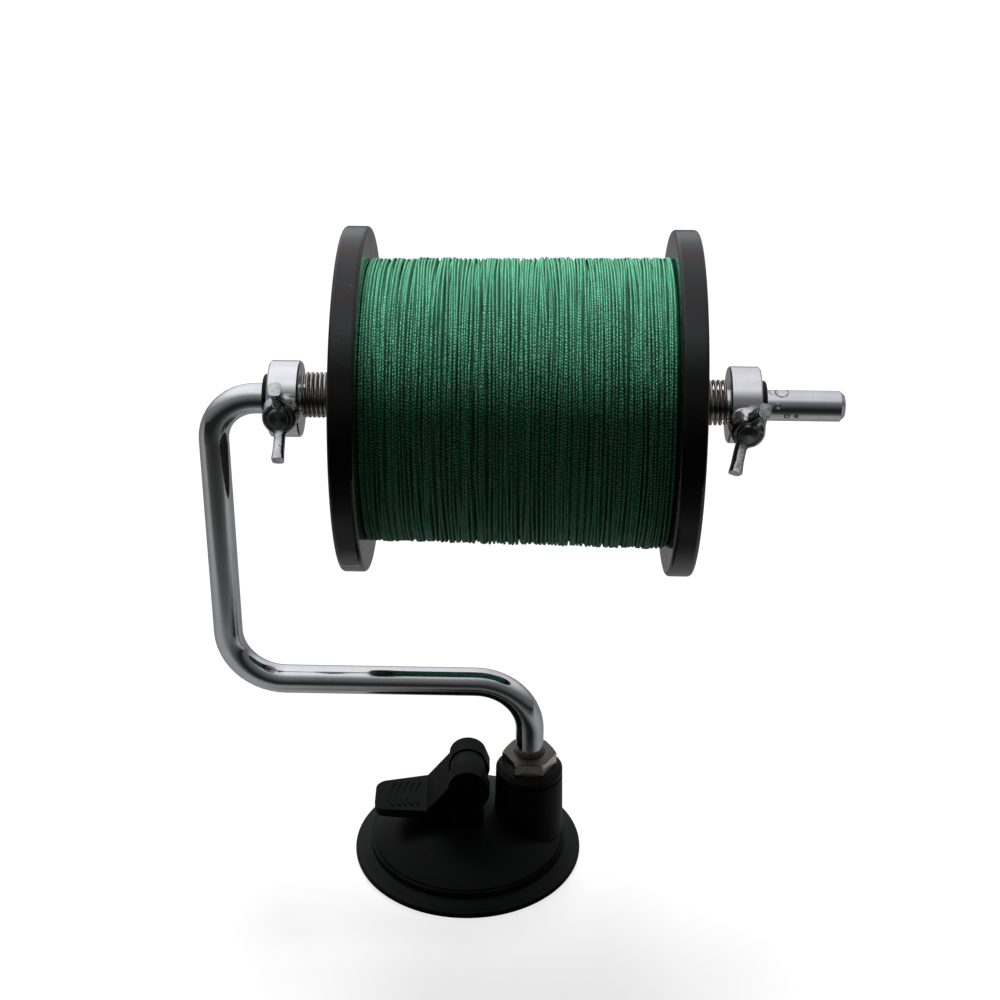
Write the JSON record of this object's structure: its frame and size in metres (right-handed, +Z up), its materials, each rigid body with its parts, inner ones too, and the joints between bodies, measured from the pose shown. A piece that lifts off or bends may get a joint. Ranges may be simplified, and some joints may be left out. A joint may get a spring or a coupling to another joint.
{
  "type": "fishing line winder",
  "caption": "Bench winder for fishing line: a lever suction base and a bent rod carry a spool that spins between sprung collars held by wing screws.",
  "frame": {"origin": "middle of the suction pad's underside, on the surface that it holds", "axes": "+X along the shaft to its free end, +Z up from the surface, +Y away from the wing screws"},
  "size_m": [0.211, 0.112, 0.2358],
  "materials": {
    "pad_rubber": "soft satin moulded rubber with a lighter worn rim edge",
    "base_plastic": "satin black moulded plastic",
    "insert_brass": "machined brass",
    "stem_plastic": "satin black glass-filled plastic",
    "pin_steel": "blackened ground steel",
    "lever_plastic": "satin black moulded plastic with thumb ridges",
    "rod_chrome": "polished bright plating with light scuffs",
    "nut_stainless": "warm grey stainless steel, faintly machined",
    "washer_rubber": "black rubber",
    "collar_aluminium": "satin turned aluminium",
    "spring_steel": "bright drawn wire",
    "stud_steel": "dark polished steel",
    "wing_cast": "bright plating over a cast surface",
    "flange_plastic": "semi-gloss black moulded plastic",
    "core_plastic": "black moulded plastic",
    "line_braid": "green braided line with a slight sheen"
  },
  "bodies": {
    "base": {"base_cover": "base_plastic", "threaded_insert": "insert_brass", "suction_pad": "pad_rubber"},
    "stem": {"pad_stem": "stem_plastic", "lever_pin": "pin_steel"},
    "lever": {"cam_lever": "lever_plastic"},
    "arm": {"bent_rod": "rod_chrome", "jam_nut": "nut_stainless", "left_tension_spring": "spring_steel", "right_tension_spring": "spring_steel"},
    "spool": {"spool_flange_left": "flange_plastic", "spool_flange_right": "flange_plastic", "spool_core": "core_plastic", "line_core": "line_braid", "line_outer_layer": "line_braid"},
    "left_clamp": {"left_collar": "collar_aluminium", "left_washer": "washer_rubber"},
    "right_clamp": {"right_collar": "collar_aluminium", "right_washer": "washer_rubber"},
    "left_screw": {"left_screw_stud": "stud_steel"},
    "right_screw": {"right_screw_stud": "stud_steel"},
    "left_wings": {"left_wing_head": "wing_cast"},
    "right_wings": {"right_wing_head": "wing_cast"}
  },
  "joints": [
    {"name": "stem_lift", "type": "slide", "parent": "base", "child": "stem", "axis": [0, 0, 1], "range_m": [-0.0024, 0], "deforming": ["suction_pad"]},
    {"name": "lever_turn", "type": "hinge", "parent": "stem", "child": "lever", "pos_m": [0, 0, 0.034], "axis": [-0.0262, 0.9997, 0], "range_deg": [0, 85]},
    {"name": "arm_swivel", "type": "hinge", "parent": "base", "child": "arm", "pos_m": [0.02229, 0.00058, 0.0372], "axis": [0, 0, 1], "range_deg": [-180, 180]},
    {"name": "spool_spin", "type": "hinge", "parent": "arm", "child": "spool", "pos_m": [0.01705, 0.00058, 0.1798], "axis": [1, 0, 0], "continuous": true},
    {"name": "left_collar_slide", "type": "slide", "parent": "arm", "child": "left_clamp", "axis": [1, 0, 0], "range_m": [-0.0025, 0.0035], "deforming": ["left_tension_spring"]},
    {"name": "right_collar_slide", "type": "slide", "parent": "arm", "child": "right_clamp", "axis": [1, 0, 0], "range_m": [-0.002, 0.006], "deforming": ["right_tension_spring"]},
    {"name": "left_screw_advance", "type": "slide", "parent": "left_clamp", "child": "left_screw", "axis": [0, -0.9976, 0.0698], "range_m": [0, 0.002]},
    {"name": "left_screw_turn", "type": "hinge", "parent": "left_screw", "child": "left_wings", "pos_m": [-0.0587, 0.00058, 0.1798], "axis": [0, -0.9976, 0.0698], "range_deg": [0, 720]},
    {"name": "right_screw_advance", "type": "slide", "parent": "right_clamp", "child": "right_screw", "axis": [0, -0.9969, -0.0785], "range_m": [0, 0.002]},
    {"name": "right_screw_turn", "type": "hinge", "parent": "right_screw", "child": "right_wings", "pos_m": [0.08975, 0.00058, 0.1798], "axis": [0, -0.9969, -0.0785], "range_deg": [0, 720]}
  ],
  "couplings": [
    {"joint": "lever_turn", "follows": "stem_lift", "rad_per_m": -618.14},
    {"joint": "left_screw_turn", "follows": "left_screw_advance", "rad_per_m": 6283.2},
    {"joint": "right_screw_turn", "follows": "right_screw_advance", "rad_per_m": 6283.2}
  ]
}
